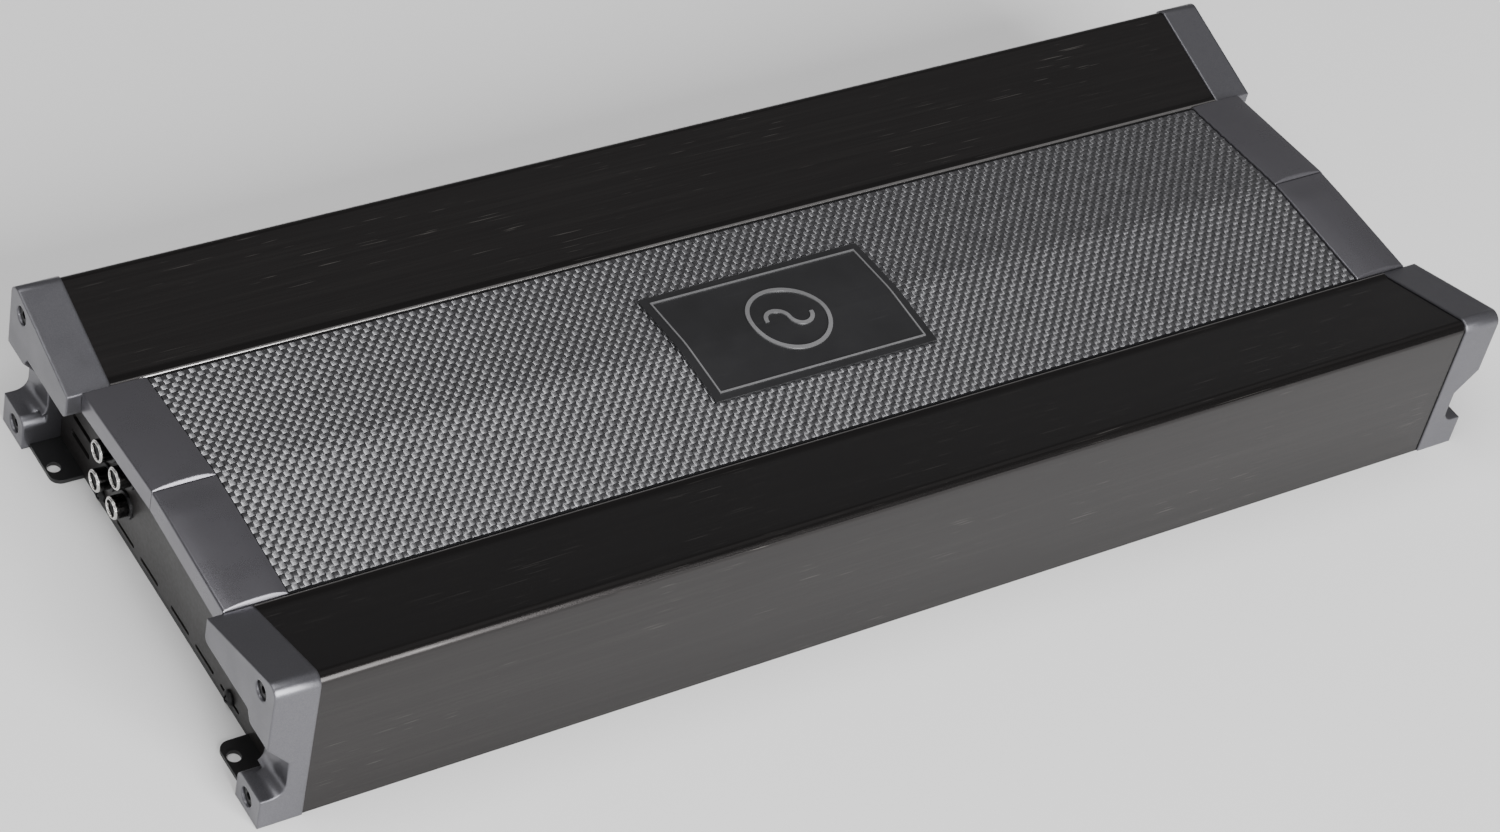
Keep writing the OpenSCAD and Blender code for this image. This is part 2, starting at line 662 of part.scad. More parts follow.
// Socket-head clamp screw that reaches down to foot_z, with its end chamfered
module clamp_screw(terminal, foot_z) {
    length = terminal[3] - foot_z - 1;
    translate([lug_screw_x, terminal[0], foot_z]) difference() {
        union() {
            cylinder(d = terminal[2], h = length - 0.5);
            cylinder(d = terminal[2] - 0.8, h = length);
        }
        translate([0, 0, length - terminal[2] * 0.5]) cylinder(d = terminal[2] * 0.6, h = 4, $fn = 6);
    }
}

// Clamp screw that stands on its pad
module padded_screw(terminal) clamp_screw(terminal, lug_z + terminal[1] / 2 + 1.5);

module battery_pad() color("#b08d3c") clamp_pad(battery);
module ground_pad() color("#b08d3c") clamp_pad(ground);
module speaker_plus_pad() color("#b08d3c") clamp_pad(speaker_plus);
module speaker_minus_pad() color("#b08d3c") clamp_pad(speaker_minus);
module battery_screw() color("#b9bbbe") padded_screw(battery);
module ground_screw() color("#b9bbbe") padded_screw(ground);
module speaker_plus_screw() color("#b9bbbe") padded_screw(speaker_plus);
module speaker_minus_screw() color("#b9bbbe") padded_screw(speaker_minus);
module remote_screw() color("#b9bbbe") clamp_screw(remote, lug_z + remote[1] / 2 + 0.3);

// ---------------------------------------------------------------- nodes

base_plate();
rail_front();
rail_rear();
bridge_heatsink();
cap_front_left();
cap_front_right();
cap_rear_left();
cap_rear_right();
end_panel_left();
end_panel_right();
trim_left_front();
trim_left_rear();
trim_right_front();
trim_right_rear();
woven_inlay();
badge_plate();
badge_emblem();
insulating_sheet();
main_board();
board_standoffs();
inner_screws();
filter_capacitors();
transformer_cores();
transformer_windings();
output_choke_core();
output_choke_winding();
transistors();
thermal_pads();
transistor_clamps();
signal_board();
board_header();
rca_housings();
rca_shells();
rca_inserts();
control_bodies();
level_control();
low_pass_control();
subsonic_control();
bass_control();
switch_bodies();
phase_switch();
mode_switch();
remote_level_socket();
status_lamps();
power_block();
power_lugs();
speaker_block();
speaker_lugs();
battery_pad();
battery_screw();
ground_pad();
ground_screw();
speaker_plus_pad();
speaker_plus_screw();
speaker_minus_pad();
speaker_minus_screw();
remote_screw();
cap_screws();
panel_screws();
base_screws();
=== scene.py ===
"""Looks, camera and light for the car amplifier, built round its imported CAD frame.

Metres, in the row frame: X along the length (signal sockets at -X), Y across, Z up.
"""

import json
import math
import random

import bpy
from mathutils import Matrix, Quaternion, Vector


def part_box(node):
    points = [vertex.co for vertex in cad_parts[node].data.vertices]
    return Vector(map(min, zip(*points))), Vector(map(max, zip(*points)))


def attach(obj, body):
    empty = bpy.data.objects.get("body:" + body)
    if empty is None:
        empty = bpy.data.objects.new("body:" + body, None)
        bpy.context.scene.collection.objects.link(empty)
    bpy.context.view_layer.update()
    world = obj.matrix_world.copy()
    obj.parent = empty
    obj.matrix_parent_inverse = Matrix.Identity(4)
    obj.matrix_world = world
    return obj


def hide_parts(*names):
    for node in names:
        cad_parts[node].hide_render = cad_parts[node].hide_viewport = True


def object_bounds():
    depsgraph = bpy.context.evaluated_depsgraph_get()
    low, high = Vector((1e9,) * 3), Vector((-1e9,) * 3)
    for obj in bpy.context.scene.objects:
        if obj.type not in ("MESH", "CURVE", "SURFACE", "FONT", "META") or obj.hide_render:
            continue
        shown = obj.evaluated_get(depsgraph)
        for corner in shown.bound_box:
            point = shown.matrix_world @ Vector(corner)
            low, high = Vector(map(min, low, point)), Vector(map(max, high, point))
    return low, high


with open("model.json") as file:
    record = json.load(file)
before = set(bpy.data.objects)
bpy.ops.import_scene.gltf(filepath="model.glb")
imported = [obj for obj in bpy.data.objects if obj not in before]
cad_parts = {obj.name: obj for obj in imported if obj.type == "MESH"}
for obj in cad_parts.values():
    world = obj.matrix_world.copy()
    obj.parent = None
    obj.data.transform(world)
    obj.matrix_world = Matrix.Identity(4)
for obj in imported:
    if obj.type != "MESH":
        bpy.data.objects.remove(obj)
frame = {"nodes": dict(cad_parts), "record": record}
NODES = frame["nodes"]
CAD_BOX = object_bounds()
MM = 0.001
SEED = 11


# ------------------------------------------------------------------ node graphs

class Surface:
    """A material's node graph, with textures placed by object coordinates: metres in the row frame."""

    def __init__(self, name):
        self.material = bpy.data.materials.new(name)
        self.material.use_nodes = True
        self.tree = self.material.node_tree
        self.shader = self.tree.nodes["Principled BSDF"]
        self.place = self.add("ShaderNodeTexCoord").outputs["Object"]

    def add(self, kind, settings=None, **inputs):
        """Adds a node; an input is a constant or a node's output, and _ stands for a space in its name."""
        node = self.tree.nodes.new(kind)
        for key, value in (settings or {}).items():
            setattr(node, key, value)
        for key, value in inputs.items():
            self.put(node.inputs[key.replace("_", " ")], value)
        return node

    def put(self, socket, value):
        if isinstance(value, bpy.types.NodeSocket):
            self.tree.links.new(value, socket)
        else:
            socket.default_value = value

    def noise(self, scale, detail=3.0, stretch=(1, 1, 1), rough=0.55, shift=0.0):
        """Noise from 0 to 1, about 1/scale metres across, drawn out along an axis whose stretch is small."""
        mapped = self.add("ShaderNodeMapping", Vector=self.place, Scale=stretch,
                          Location=(shift, shift, shift))
        return self.add("ShaderNodeTexNoise", Vector=mapped.outputs["Vector"], Scale=scale, Detail=detail,
                        Roughness=rough).outputs["Fac"]

    def span(self, value, low, high, frm=0.3, to=0.7):
        """Value's frm..to range spread over low..high."""
        return self.add("ShaderNodeMapRange", Value=value, From_Min=frm, From_Max=to, To_Min=low,
                        To_Max=high).outputs["Result"]

    def math(self, kind, a, b):
        node = self.add("ShaderNodeMath", {"operation": kind})
        self.put(node.inputs[0], a)
        self.put(node.inputs[1], b)
        return node.outputs[0]

    def mix(self, share, a, b):
        """Colour a at share 0 and colour b at share 1."""
        node = self.add("ShaderNodeMix", {"data_type": "RGBA"})
        self.put(node.inputs[0], share)
        for socket, value in ((node.inputs[6], a), (node.inputs[7], b)):
            self.put(socket, value if isinstance(value, bpy.types.NodeSocket) else (*value, 1))
        return node.outputs[2]

    def below(self, axis, limit):
        """1 where the size of one coordinate is under limit metres, 0 elsewhere."""
        parts = self.add("ShaderNodeSeparateXYZ", Vector=self.place)
        return self.math("LESS_THAN", self.math("ABSOLUTE", parts.outputs[axis], 0.0), limit)

    def bump(self, height, depth, normal=None):
        """Normal of a relief depth metres deep."""
        node = self.add("ShaderNodeBump", Height=height, Distance=depth, Strength=1.0)
        if normal is not None:
            self.put(node.inputs["Normal"], normal)
        return node.outputs["Normal"]

    def finish(self, **inputs):
        for key, value in inputs.items():
            self.put(self.shader.inputs[key.replace("_", " ")], value)
        return self.material


def tint(color, factor):
    return tuple(min(1.0, c * factor) for c in color)


def plain(name, color, rough, metallic=0.0, scale=900, vary=0.12, rough_vary=0.06, depth=0.00001,
          stretch=(1, 1, 1), soil=0.25, **constants):
    """Everyday finish: cloudy colour, uneven gloss, a fine grain and a little dust in broad patches."""
    s = Surface(name)
    grain = s.noise(scale, 4, stretch)
    clouds = s.noise(38, 3)
    base = s.mix(s.span(grain, 0, 1), tint(color, 1 - vary), tint(color, 1 + vary))
    dusty = s.mix(s.span(clouds, 0, soil, 0.45, 0.75), base, tint(color, 1 - 2 * vary))
    gloss = s.math("ADD", s.span(grain, rough - rough_vary, rough + rough_vary), s.span(clouds, -0.03, 0.04))
    return s.finish(Base_Color=dusty, Metallic=metallic, Roughness=gloss, Normal=s.bump(grain, depth),
                    **constants)


PAINTED_HIGHLIGHT_WIDTH = 0.9 * MM   # width of the painted highlight along the rails' inner edge
BRIGHT_RIM = 0.8 * MM      # depth of the phono shells' bright rim; past it the barrel is painted dark as a painted reflection


def anodised_rail():
    """Black anodised extrusion: fine drawing lines along X, sparse short hairlines, a painted highlight along
    the inner edge.
    """
    s = Surface("rail_anodised")
    lines = s.noise(2600, 3, (0.008, 1, 1), 0.7)
    streaks = s.noise(700, 2, (0.015, 1, 1), 0.6, 3.1)
    hairs = s.noise(2300, 1, (0.022, 1, 1), 0.4, 7.7)
    patches = s.noise(30, 2, (0.6, 1, 1), 0.5, 1.9)
    clouds = s.noise(11, 3, (0.5, 1.5, 1.5))
    base = s.mix(s.span(lines, 0, 1), (0.026, 0.0240, 0.0240), (0.035, 0.0325, 0.032))
    base = s.mix(s.span(streaks, 0, 0.35, 0.5, 0.72), base, (0.047, 0.044, 0.042))
    marks = s.math("MULTIPLY", s.span(hairs, 0, 0.9, 0.70, 0.75), s.span(patches, 0, 1, 0.45, 0.6))
    base = s.mix(marks, base, (0.17, 0.16, 0.15))
    inner = min(abs(corner.y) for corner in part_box("rail_rear"))
    # painted highlight: the inner edge and its lip's round get a pale colour in place of the light they catch
    base = s.mix(s.below(1, inner + PAINTED_HIGHLIGHT_WIDTH), base, (0.30, 0.29, 0.285))
    rough = s.math("ADD", s.span(streaks, 0.18, 0.22), s.span(clouds, -0.03, 0.03))
    return s.finish(Base_Color=base, Metallic=0.92, Roughness=rough, Normal=s.bump(lines, 0.0000010),
                    Coat_Weight=0.2, Coat_Roughness=0.12)


def satin_metal(name, color, rough, flake, scale=2600, coat=0.0, soft_edge=0.0):
    """Painted or blasted metal: fine flake, spots of wear, edges softened in shading by soft_edge mm."""
    s = Surface(name)
    flakes = s.noise(scale, 2, (1, 1, 1), 0.8)
    clouds = s.noise(60, 4)
    base = s.mix(s.span(flakes, 0, 1, 0.35, 0.68), tint(color, 1 - flake), tint(color, 1 + flake))
    base = s.mix(s.span(clouds, 0, 0.35, 0.5, 0.72), base, tint(color, 0.82))
    gloss = s.math("ADD", s.span(clouds, rough - 0.04, rough + 0.05), s.span(flakes, -0.03, 0.03))
    normal = None
    if soft_edge:
        normal = s.add("ShaderNodeBevel", {"samples": 8}, Radius=soft_edge * MM).outputs["Normal"]
    return s.finish(Base_Color=base, Metallic=0.85, Roughness=gloss, Normal=s.bump(flakes, 0.000004, normal),
                    Coat_Weight=coat, Coat_Roughness=0.18)


def ribbon_metal(name, along):
    """Ribbon of fine silver filaments along one axis; its fan of reflection makes it flash or go dark."""
    s = Surface(name)
    across = 1 - along
    stretch = [1.0, 1.0, 0.2]
    stretch[along] = 0.08
    filaments = s.noise(4200, 2, stretch, 0.7)
    cells = s.noise(360, 1, (1, 1, 0), 0.5, 9.1)
    base = s.mix(s.span(filaments, 0, 1), (0.175, 0.175, 0.182), (0.53, 0.53, 0.55))
    base = s.mix(s.span(cells, 0, 0.55, 0.48, 0.72), base, (0.265, 0.265, 0.272))
    rough = s.math("ADD", s.span(filaments, 0.44, 0.50), s.span(cells, -0.02, 0.03))
    fan = [0.0, 0.0, 0.0]
    fan[across] = 1.0
    tangent = s.add("ShaderNodeCombineXYZ", X=fan[0], Y=fan[1], Z=fan[2]).outputs["Vector"]
    return s.finish(Base_Color=base, Metallic=1.0, Roughness=rough, Normal=s.bump(filaments, 0.000008),
                    Anisotropic=1.0, Tangent=tangent)


def nickel_shell():
    """Nickel that shines at a phono socket's rim; down its barrel it is painted near black, a painted dark
    reflection.
    """
    s = Surface("socket_nickel")
    grain = s.noise(1200, 4)
    rim = abs(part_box("rca_shells")[0].x) - BRIGHT_RIM
    bright = s.mix(s.span(grain, 0, 1), (0.70, 0.69, 0.67), (0.78, 0.77, 0.75))
    # painted dark reflection: behind the rim the barrel gets a near-black colour in place of nickel
    base = s.mix(s.below(0, rim), bright, (0.06, 0.058, 0.058))
    return s.finish(Base_Color=base, Metallic=1.0, Roughness=s.span(grain, 0.14, 0.28),
                    Normal=s.bump(grain, 0.000003))


def gloss_black(name, color, rough):
    """Smooth lacquer with faint orange peel and hairline wear."""
    s = Surface(name)
    peel = s.noise(420, 2)
    hairs = s.noise(900, 2, (0.05, 1, 1), 0.6)
    clouds = s.noise(45, 3)
    base = s.mix(s.span(clouds, 0, 1), tint(color, 0.85), tint(color, 1.2))
    base = s.mix(s.span(hairs, 0, 0.35, 0.68, 0.76), base, tint(color, 2.2))
    gloss = s.math("ADD", s.span(clouds, rough - 0.03, rough + 0.04), s.span(hairs, 0, 0.05, 0.6, 0.75))
    return s.finish(Base_Color=base, Roughness=gloss, Normal=s.bump(peel, 0.000006), Coat_Weight=0.3,
                    Coat_Roughness=0.08)


MATERIALS = {
    "rail_anodised": anodised_rail(),
    "cast_caps": satin_metal("cast_caps", (0.146, 0.145, 0.158), 0.34, 0.12, soft_edge=1.2),
    "trim_metal": satin_metal("trim_metal", (0.166, 0.162, 0.178), 0.30, 0.05, 3200, 0.15),
    "woven_metal": satin_metal("woven_backing", (0.02, 0.02, 0.022), 0.6, 0.3),
    "badge_black": gloss_black("badge_black", (0.011, 0.011, 0.012), 0.32),
    "badge_silver": satin_metal("badge_silver", (0.44, 0.44, 0.45), 0.38, 0.06),
    "panel_steel": plain("panel_steel", (0.022, 0.0205, 0.020), 0.38, 0.2, 700, 0.15, 0.05, 0.000006),
    "base_steel": plain("base_steel", (0.010, 0.010, 0.0105), 0.42, 0.0, 1400, 0.2, 0.08, 0.00002),
    "heatsink_anodised": plain("heatsink_anodised", (0.03, 0.03, 0.032), 0.5, 0.7, 900, 0.2, 0.08, 0.00001,
                               (0.05, 1, 1)),
    "insulator": plain("insulator", (0.42, 0.33, 0.12), 0.35, 0.0, 300, 0.1, 0.05, 0.000004),
    "circuit_board": plain("circuit_board", (0.02, 0.10, 0.05), 0.34, 0.0, 500, 0.25, 0.06, 0.000012),
    "standoff_brass": plain("standoff_brass", (0.62, 0.43, 0.16), 0.3, 1.0, 1500, 0.1, 0.06, 0.000004),
    "bright_steel": plain("bright_steel", (0.62, 0.62, 0.63), 0.24, 1.0, 1800, 0.08, 0.06, 0.000003),
    "capacitor_sleeve": plain("capacitor_sleeve", (0.02, 0.05, 0.16), 0.3, 0.0, 300, 0.15, 0.05, 0.000006),
    "ferrite": plain("ferrite", (0.06, 0.06, 0.06), 0.7, 0.0, 1600, 0.25, 0.08, 0.00003),
    "copper_winding": plain("copper_winding", (0.55, 0.19, 0.06), 0.28, 0.9, 900, 0.2, 0.06, 0.000006),
    "component_black": plain("component_black", (0.02, 0.02, 0.02), 0.55, 0.0, 1800, 0.2, 0.06, 0.00001),
    "thermal_pad": plain("thermal_pad", (0.24, 0.30, 0.38), 0.75, 0.0, 900, 0.12, 0.05, 0.00003),
    "clamp_aluminium": plain("clamp_aluminium", (0.52, 0.53, 0.54), 0.36, 1.0, 1500, 0.1, 0.08, 0.00001,
                             (0.05, 1, 1)),
    "socket_black": plain("socket_black", (0.009, 0.009, 0.010), 0.45, 0.0, 1500, 0.2, 0.06, 0.000008),
    "socket_nickel": nickel_shell(),
    "control_blue": plain("control_blue", (0.02, 0.08, 0.28), 0.4, 0.0, 900, 0.1, 0.05, 0.00001),
    "control_white": plain("control_white", (0.64, 0.62, 0.56), 0.5, 0.0, 900, 0.06, 0.05, 0.00001),
    "switch_steel": plain("switch_steel", (0.5, 0.51, 0.52), 0.35, 1.0, 1500, 0.1, 0.08, 0.000005),
    "lamp_lens": plain("lamp_lens", (0.10, 0.13, 0.5), 0.15, 0.0, 500, 0.1, 0.03, 0.000003, Coat_Weight=0.5),
    "terminal_black": plain("terminal_black", (0.014, 0.014, 0.015), 0.5, 0.0, 1300, 0.2, 0.08, 0.00002),
    "lug_brass": plain("lug_brass", (0.68, 0.47, 0.16), 0.28, 1.0, 1500, 0.1, 0.08, 0.000006),
    "screw_black": plain("screw_black", (0.012, 0.012, 0.013), 0.45, 0.3, 1500, 0.2, 0.08, 0.000008),
}
RIBBONS = {0: ribbon_metal("ribbon_along", 0), 1: ribbon_metal("ribbon_across", 1)}


# ------------------------------------------------------------------ CAD nodes

BEVELS = {  # width in mm of the small rounding that casting, bending or deburring leaves
    "cast_caps": 1.0, "trim_metal": 0.35, "rail_anodised": 0.35, "badge_black": 0.25, "panel_steel": 0.2,
    "base_steel": 0.25, "socket_black": 0.2, "socket_nickel": 0.15, "screw_black": 0.12, "bright_steel": 0.12,
    "terminal_black": 0.4, "lug_brass": 0.2, "switch_steel": 0.1, "control_white": 0.1, "control_blue": 0.15,
}


def dress(node, slot):
    """Gives a CAD node its material, welds it, merges its flat faces and, for the slots in BEVELS, adds its
    small edge rounding.
    """
    o = NODES[node]
    o.data.materials.clear()
    o.data.materials.append(MATERIALS[slot])
    weld = o.modifiers.new("weld", "WELD")
    weld.merge_threshold = 0.002 * MM
    flat = o.modifiers.new("flat", "DECIMATE")
    flat.decimate_type = "DISSOLVE"
    flat.angle_limit = math.radians(0.5)
    if slot in BEVELS:
        bevel = o.modifiers.new("edges", "BEVEL")
        bevel.width = BEVELS[slot] * MM
        bevel.segments = 3
        bevel.limit_method = "ANGLE"
        bevel.angle_limit = math.radians(32)
        bevel.use_clamp_overlap = True
        bevel.harden_normals = True


for part in frame["record"]["subparts"]:
    dress(part["node"], part["material_slot"])


# ------------------------------------------------------------------ mesh pieces

def piece(name, verts, faces, material, replaced=None, sharp=None):
    """A mesh on the case body, smooth except at edges sharper than an angle in degrees."""
    mesh = bpy.data.meshes.new(name)
    mesh.from_pydata(verts, [], faces)
    mesh.polygons.foreach_set("use_smooth", [True] * len(mesh.polygons))
    if sharp:
        mesh.set_sharp_from_angle(angle=math.radians(sharp))
    mesh.materials.append(material)
    o = bpy.data.objects.new(name, mesh)
    bpy.context.scene.collection.objects.link(o)
    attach(o, "case")
    if replaced:
        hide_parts(replaced)


SLOPE = math.tan(math.radians(3.8))  # of the centre section's two halves


def arc(steps, full=math.pi / 2):
    """Angles of an arc's points, from 0 to full."""
    return [full * k / steps for k in range(steps + 1)]


# ------------------------------------------------------------------ rails

RAIL_TILT = math.radians(16.6)          # of the rails' tops
RAIL_ROUND = 3.4 * MM                   # radius of their outer upper edge
RAIL_WALL, RAIL_PLATE = 2.4 * MM, 2.6 * MM
RAIL_FLOOR = 1.7 * MM                   # height at which the section ends inside the wall
RAIL_WEB = 4.6 * MM                     # from the inner edge out to the web under it
LIP_WIDTH, LIP_HEIGHT, LIP_ROUND = 4.0 * MM, 1.1 * MM, 0.8 * MM
RAIL_STATIONS = 24


def rail(node, sy):
    """Outer skin of a side rail: wall, rounded edge, sloping top and a small raised lip at the inner edge."""
    low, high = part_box(node)
    side = max(abs(low.y), abs(high.y))
    inner = min(abs(low.y), abs(high.y))
    mesh = NODES[node].data
    centre = (side - RAIL_ROUND, high.z - RAIL_ROUND)
    slope = math.tan(RAIL_TILT)
    edge_z = max(v.co.z for v in mesh.vertices if abs(v.co.y) < inner + 0.05 * MM)

    def top(d):
        """Point of the sloping top at a distance from the inner edge."""
        return inner + d, edge_z + d * slope

    outline = [(side, low.z), (side, low.z + 20 * MM), (side, centre[1] - 3 * MM)]
    outline += [(centre[0] + RAIL_ROUND * math.cos(a), centre[1] + RAIL_ROUND * math.sin(a))
                for a in arc(18, math.pi / 2 + RAIL_TILT)]
    outline += [top(d * MM) for d in (30, 18, 8, 5)]
    outline.append(top(LIP_WIDTH))
    for d in (LIP_WIDTH * 0.7, LIP_WIDTH * 0.4, LIP_ROUND * 1.4):
        y, z = top(d)
        outline.append((y, z + LIP_HEIGHT * (1 - d / LIP_WIDTH) ** 1.5))
    outline += [(inner + LIP_ROUND * (1 - math.sin(a)), edge_z + LIP_HEIGHT - LIP_ROUND * (1 - math.cos(a)))
                for a in arc(6)[1:]]
    outline += [(inner, edge_z - RAIL_PLATE), (inner + RAIL_WEB, edge_z - RAIL_PLATE),
                (inner + RAIL_WEB, RAIL_FLOOR), (side - RAIL_WALL, RAIL_FLOOR), (side - RAIL_WALL, low.z)]
    xs = [low.x + (high.x - low.x) * k / RAIL_STATIONS for k in range(RAIL_STATIONS + 1)]
    verts = [(x, sy * y, z) for x in xs for y, z in outline]
    n = len(outline)
    faces = [(k * n + j, k * n + (j + 1) % n, (k + 1) * n + (j + 1) % n, (k + 1) * n + j)[::sy]
             for k in range(len(xs) - 1) for j in range(n)]
    faces += [tuple(range(n))[::-sy], tuple((len(xs) - 1) * n + j for j in range(n))[::sy]]
    piece("drawn_" + node, verts, faces, MATERIALS["rail_anodised"], node, 38)


rail("rail_front", -1)
rail("rail_rear", 1)


# ------------------------------------------------------------------ end trims

CROWN_LOW, CROWN_RISE = 0.35 * MM, 1.15 * MM   # height of a trim's top over its ends' lines, and its bulge
CROWN_CREST, CROWN_POWER = 0.38, 2.8           # where across the trim it is highest, and how flat it is there
LINE_DROP = 0.9 * MM                           # from a trim's highest point to its ends' lower lines
INNER_ROUND, OUTER_ROUND = 0.5 * MM, 1.1 * MM
TRIM_PLATE, TRIM_LIP, TRIM_WALL = 2.4 * MM, 1.8 * MM, 7.8 * MM
FACE_TILTS = [8, 18, 28, 38, 47, 51, 54, 56, 58, 60, 62, 64]   # degrees, from the top down the end face
FACE_STEPS = [0.05] * 5 + [0.1] * 7
FLAT_START = 0.05                              # share of the bulge that the front trim has at the ridge
RISE_STEPS, RISE_STEP = 8, 1.5 * MM            # over which it grows to the whole


def trim(node, sx, sy):
    """End trim: crowned across, its ends falling in a sloped face to a straight line, a deep wall outside."""
    low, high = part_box(node)
    inner, outer = sorted((abs(low.x), abs(high.x)))
    near, far = sorted((abs(low.y), abs(high.y)))
    width = outer - inner
    line = high.z - LINE_DROP

    def crown(u, full):
        """Height of the top over the lower line."""
        x = u / width
        reach = CROWN_CREST if x < CROWN_CREST else 1 - CROWN_CREST
        return CROWN_LOW + CROWN_RISE * full * (1 - (abs(x - CROWN_CREST) / reach) ** CROWN_POWER)

    # the end face: a short round, then a nearly flat slope that steepens
    face = [(0.0, 0.0)]
    for tilt, step in zip(FACE_TILTS, FACE_STEPS):
        a = math.radians(tilt)
        face.append((face[-1][0] + step * math.cos(a), face[-1][1] + step * math.sin(a)))
    run, drop = face[-1]

    def section(k, full=1.0, shift=0.0):
        """Closed profile at station k of an end face, as (distance out, way in from the end, height)."""
        points = [(0, shift, -TRIM_PLATE)]
        back, down = run - face[k][0], 1 - face[k][1] / drop

        def put(u, at, dz):
            rise = crown(at, full)
            points.append((u, shift + back * rise / drop, rise * down + dz * down))
        for a in arc(4):
            put(INNER_ROUND * (1 - math.cos(a)), INNER_ROUND, -INNER_ROUND * (1 - math.sin(a)))
        for j in range(1, 20):
            u = INNER_ROUND + (width - INNER_ROUND - OUTER_ROUND) * j / 20
            put(u, u, 0)
        for a in arc(6):
            put(width - OUTER_ROUND * (1 - math.sin(a)), width - OUTER_ROUND,
                -OUTER_ROUND * (1 - math.cos(a)))
        inside = width - TRIM_LIP
        points += [(width, shift, -TRIM_WALL), (inside, shift, -TRIM_WALL), (inside, shift, -TRIM_PLATE)]
        return points

    last = len(face) - 1
    # the front trim starts flat, so that the rear one stands over it at the ridge
    start = FLAT_START if sy < 0 else 1.0
    rings = [[(u, near + v, h) for u, v, h in section(k, start)] for k in range(last, -1, -1)]
    if sy < 0:
        for k in range(1, RISE_STEPS + 1):
            t = k / RISE_STEPS
            full = FLAT_START + (1 - FLAT_START) * (3 - 2 * t) * t ** 2
            rings.append([(u, near + v, h) for u, v, h in section(0, full, RISE_STEP * k)])
    rings += [[(u, far - v, h) for u, v, h in section(k)] for k in range(last + 1)]
    verts = [(sx * (inner + u), sy * y, line - (y - near) * SLOPE + h) for ring in rings for u, y, h in ring]
    n = len(rings[0])
    turn = 1 if sx * sy > 0 else -1
    faces = [(k * n + j, k * n + (j + 1) % n, (k + 1) * n + (j + 1) % n, (k + 1) * n + j)[::turn]
             for k in range(len(rings) - 1) for j in range(n)]
    faces += [tuple(range(n))[::-turn], tuple((len(rings) - 1) * n + j for j in range(n))[::turn]]
    piece("crowned_" + node, verts, faces, MATERIALS["trim_metal"], node, 38)


for end, sx in (("left", -1), ("right", 1)):
    for side, sy in (("front", -1), ("rear", 1)):
        trim(f"trim_{end}_{side}", sx, sy)


# ------------------------------------------------------------------ woven inlay

RIDGE = 2 * MM          # half the width of the flat ridge between the two slopes
PITCH_X = 2.11 * MM     # between the ribbons that run across
PITCH_Y = 2.36 * MM     # between the ribbons that run along
STEPS = 8               # mesh steps from one crossing to the next
LIFT = 0.12 * MM        # of a ribbon's crests above its mean height
BACKING = 0.1 * MM      # from the inlay's surface up to a ribbon's mean height
MARGIN = 0.1 * MM       # that the ribbons keep from the inlay's edges
STRAY = 0.03            # of a ribbon from its place, as a share of the pitch
SQUEEZE = 0.12          # share of its width that a ribbon loses where it passes under
HALF_WIDTH = (0.43, 0.47)   # range of a ribbon's half width, as a share of the pitch
CROSS_SECTION = ((-1, -0.07), (-0.6, 0.02), (0.6, 0.02), (1, -0.07))   # share of half width, mm of height


def weave():
    """Plain weave of flat ribbons laid on the inlay's two slopes, as six pieces over a dark backing."""
    low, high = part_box("woven_inlay")
    rng = random.Random(SEED)

    def top(y):
        return high.z - (max(abs(y), RIDGE) - RIDGE) * SLOPE

    cols = int((high.x - low.x) / PITCH_X)
    rows = int((high.y - low.y) / PITCH_Y)
    x_first = (low.x + high.x) / 2 - (cols - 1) / 2 * PITCH_X
    y_first = (low.y + high.y) / 2 - (rows - 1) / 2 * PITCH_Y

    def ribbon(verts, faces, along, index, first, pitch, side_first, side_pitch, begin, end):
        """One ribbon from crossing begin to crossing end, over and under in turn."""
        side = side_first + index * side_pitch + rng.uniform(-STRAY, STRAY) * side_pitch
        half = side_pitch * rng.uniform(*HALF_WIDTH)
        base = len(verts)
        sway = rng.uniform(0, math.tau)
        for k in range((end - begin) * STEPS + 1):
            t = begin - 0.5 + k / STEPS
            run = first + t * pitch
            wave = math.cos(math.pi * (t + index + 1 - along))
            wave = math.copysign(abs(wave) ** 0.5, wave)
            drift = STRAY * side_pitch * math.sin(t * 0.7 + sway)
            squeeze = 1 - SQUEEZE * (1 - wave) / 2
            for s, crown in CROSS_SECTION:
                off = side + drift + s * half * squeeze
                x, y = (off, run) if along else (run, off)
                x = min(max(x, low.x + MARGIN), high.x - MARGIN)
                y = min(max(y, low.y + MARGIN), high.y - MARGIN)
                verts.append((x, y, top(y) + LIFT * wave + crown * MM + BACKING))
            if k:
                a = base + 4 * (k - 1)
                turn = 1 if along else -1
                faces.extend((a + j, a + j + 1, a + j + 5, a + j + 4)[::turn] for j in range(3))

    third = cols // 3
    spans = (("left", 0, third), ("middle", third, 2 * third), ("right", 2 * third, cols))
    for name, along in (("weave_along", 0), ("weave_across", 1)):
        for tag, c0, c1 in spans:
            verts, faces = [], []
            if along:
                for i in range(c0, c1):
                    ribbon(verts, faces, 1, i, y_first, PITCH_Y, x_first, PITCH_X, 0, rows)
            else:
                for j in range(rows):
                    ribbon(verts, faces, 0, j, x_first, PITCH_X, y_first, PITCH_Y, c0, c1)
            piece(f"{name}_{tag}", verts, faces, RIBBONS[along])


weave()


# ------------------------------------------------------------------ floor, light, camera

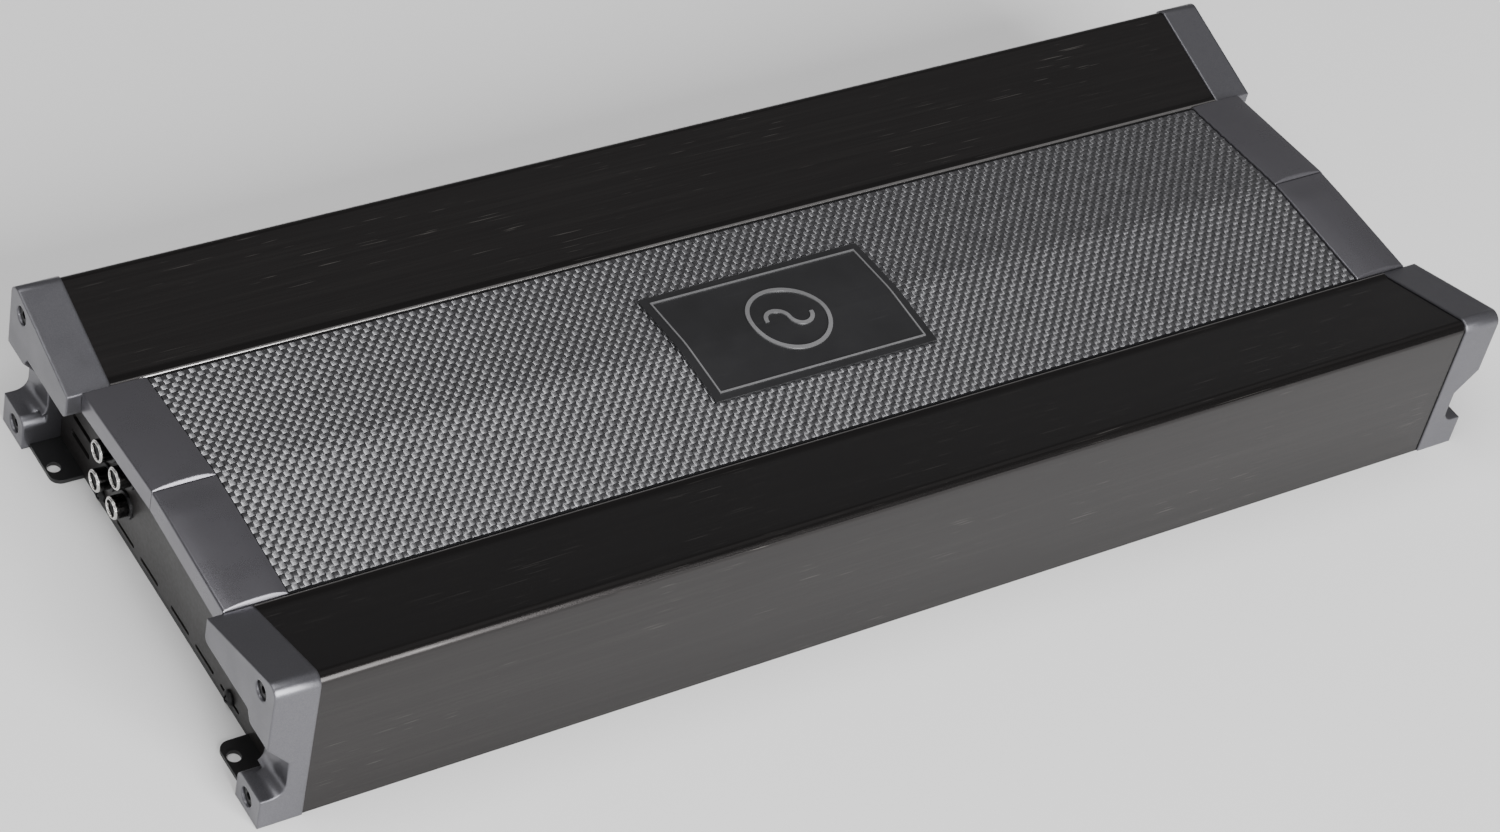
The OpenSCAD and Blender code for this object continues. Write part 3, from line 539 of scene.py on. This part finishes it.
def stage_floor():
    s = Surface("floor")
    paper = s.noise(900, 4)
    clouds = s.noise(3, 2)
    base = s.mix(s.span(clouds, 0, 1), (0.86, 0.86, 0.86), (0.89, 0.89, 0.89))
    s.finish(Base_Color=base, Roughness=s.span(paper, 0.6, 0.75), Normal=s.bump(paper, 0.00002))
    mesh = bpy.data.meshes.new("floor")
    size = 8.0
    corners = [(-size, -size, 0), (size, -size, 0), (size, size, 0), (-size, size, 0)]
    mesh.from_pydata(corners, [], [(0, 1, 2, 3)])
    mesh.materials.append(s.material)
    floor = bpy.data.objects.new("floor", mesh)
    floor.location.z = CAD_BOX[0].z - 0.05 * MM
    bpy.context.scene.collection.objects.link(floor)


def softbox(name, place, target, width, height, power):
    light = bpy.data.lights.new(name, "AREA")
    light.shape = "RECTANGLE"
    light.size, light.size_y = width, height
    light.energy = power
    o = bpy.data.objects.new(name, light)
    o.location = place
    o.rotation_mode = "QUATERNION"
    o.rotation_quaternion = (Vector(target) - Vector(place)).to_track_quat("-Z", "Y")
    bpy.context.scene.collection.objects.link(o)


def sky(strength, color):
    world = bpy.data.worlds.new("studio")
    world.use_nodes = True
    back = world.node_tree.nodes["Background"]
    back.inputs["Color"].default_value = (*color, 1)
    back.inputs["Strength"].default_value = strength
    bpy.context.scene.world = world


stage_floor()
sky(0.225, (1.0, 0.985, 1.0))
softbox("front", (0.05, -2.4, 1.0), (0.05, 0, 0.5), 1.7, 1.9, 152)
softbox("above_left", (-0.9, -0.2, 2.6), (-0.1, 0, 0), 2.2, 2.0, 55)
softbox("left", (-2.3, -0.5, 0.8), (0, 0, 0.1), 1.4, 1.2, 4)
softbox("overhead_right", (1.35, 0.3, 2.4), (0, 0, 0), 1.6, 1.6, 1.6)


def camera():
    """Camera at the viewing angle that was solved from the case's straight edges; it leans to the right."""
    azimuth, elevation, roll = (math.radians(a) for a in (-40.81, 41.92, 13.94))
    distance, lens = 1.39447, 91.14
    aim = Vector((-0.00193, 0.00544, 0.00318))
    back = Vector((math.sin(azimuth) * math.cos(elevation), -math.cos(azimuth) * math.cos(elevation),
                   math.sin(elevation)))
    data = bpy.data.cameras.new("camera")
    data.sensor_width = 36
    data.lens = lens
    data.clip_start, data.clip_end = 0.05, 50
    o = bpy.data.objects.new("camera", data)
    o.rotation_mode = "QUATERNION"
    o.location = aim + back * distance
    o.rotation_quaternion = (-back).to_track_quat("-Z", "Y") @ Quaternion((0, 0, 1), roll)
    bpy.context.scene.collection.objects.link(o)
    bpy.context.scene.camera = o


camera()
